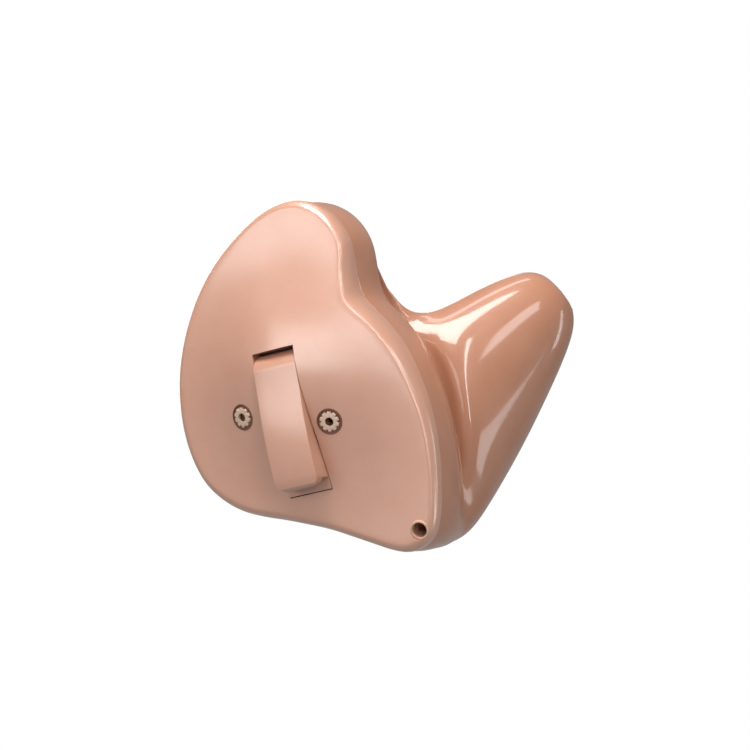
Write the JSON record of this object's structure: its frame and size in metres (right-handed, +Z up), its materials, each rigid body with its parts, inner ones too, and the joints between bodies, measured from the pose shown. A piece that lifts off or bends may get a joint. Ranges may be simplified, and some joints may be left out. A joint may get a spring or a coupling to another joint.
{
  "type": "in-the-ear hearing aid",
  "caption": "Custom in-the-ear hearing aid: kidney-shaped faceplate with a hinged battery door and microphone covers, on a shell that narrows into a canal part.",
  "frame": {"origin": "middle of the joint between the faceplate and the shell, which is the plane Y = 0", "axes": "+Y goes into the ear, -Y is the faceplate's way out, +Z is up in the ear, and +X is towards the wearer's face"},
  "size_m": [0.0295, 0.0217, 0.0293],
  "materials": {
    "shell_acrylic": "polished",
    "plate_acrylic": "satin",
    "door_acrylic": "satin",
    "vent_acrylic": "polished",
    "dark_plastic": "matt",
    "pin_steel": "ground",
    "can_steel": "nickel plated",
    "seal_nylon": "matt",
    "cap_metal": "nickel plated",
    "gilt_spring": "gilt",
    "nickel_spring": "nickel plated",
    "cover_plastic": "matt",
    "sleeve_rubber": "matt",
    "capsule_metal": "satin",
    "board_green": "satin",
    "chip_black": "matt",
    "ceramic": "matt",
    "core_iron": "dark",
    "copper_wire": "enamelled",
    "receiver_steel": "satin",
    "boot_rubber": "matt",
    "tube_rubber": "satin",
    "guard_plastic": "satin",
    "mesh_plastic": "matt",
    "wire_red": "satin",
    "wire_blue": "satin",
    "wire_black": "satin"
  },
  "bodies": {
    "housing": {"shell": "shell_acrylic", "faceplate": "plate_acrylic", "battery_bay": "dark_plastic", "hinge_pin": "pin_steel", "contact_positive": "gilt_spring", "contact_negative": "nickel_spring", "mic_cover_front": "cover_plastic", "mic_cover_rear": "cover_plastic", "mic_sleeve_front": "sleeve_rubber", "mic_sleeve_rear": "sleeve_rubber", "microphone_front": "capsule_metal", "microphone_rear": "capsule_metal", "circuit_board": "board_green", "signal_chip": "chip_black", "board_capacitors": "ceramic", "telecoil_core": "core_iron", "telecoil_winding": "copper_wire", "receiver": "receiver_steel", "receiver_boot": "boot_rubber", "sound_tube": "tube_rubber", "wax_guard": "guard_plastic", "wax_mesh": "mesh_plastic", "vent_inlet": "vent_acrylic", "vent_tube": "vent_acrylic", "microphone_wires": "wire_red", "receiver_wires": "wire_blue", "battery_wires": "wire_black"},
    "battery_door": {"battery_door": "door_acrylic", "battery_can": "can_steel", "battery_seal": "seal_nylon", "battery_cap": "cap_metal"}
  },
  "joints": [
    {"name": "door_hinge", "type": "hinge", "parent": "housing", "child": "battery_door", "pos_m": [-0.00101, -0.0024, 0.00099], "axis": [-0.9781, 0, -0.2079], "range_deg": [0, 92]}
  ]
}
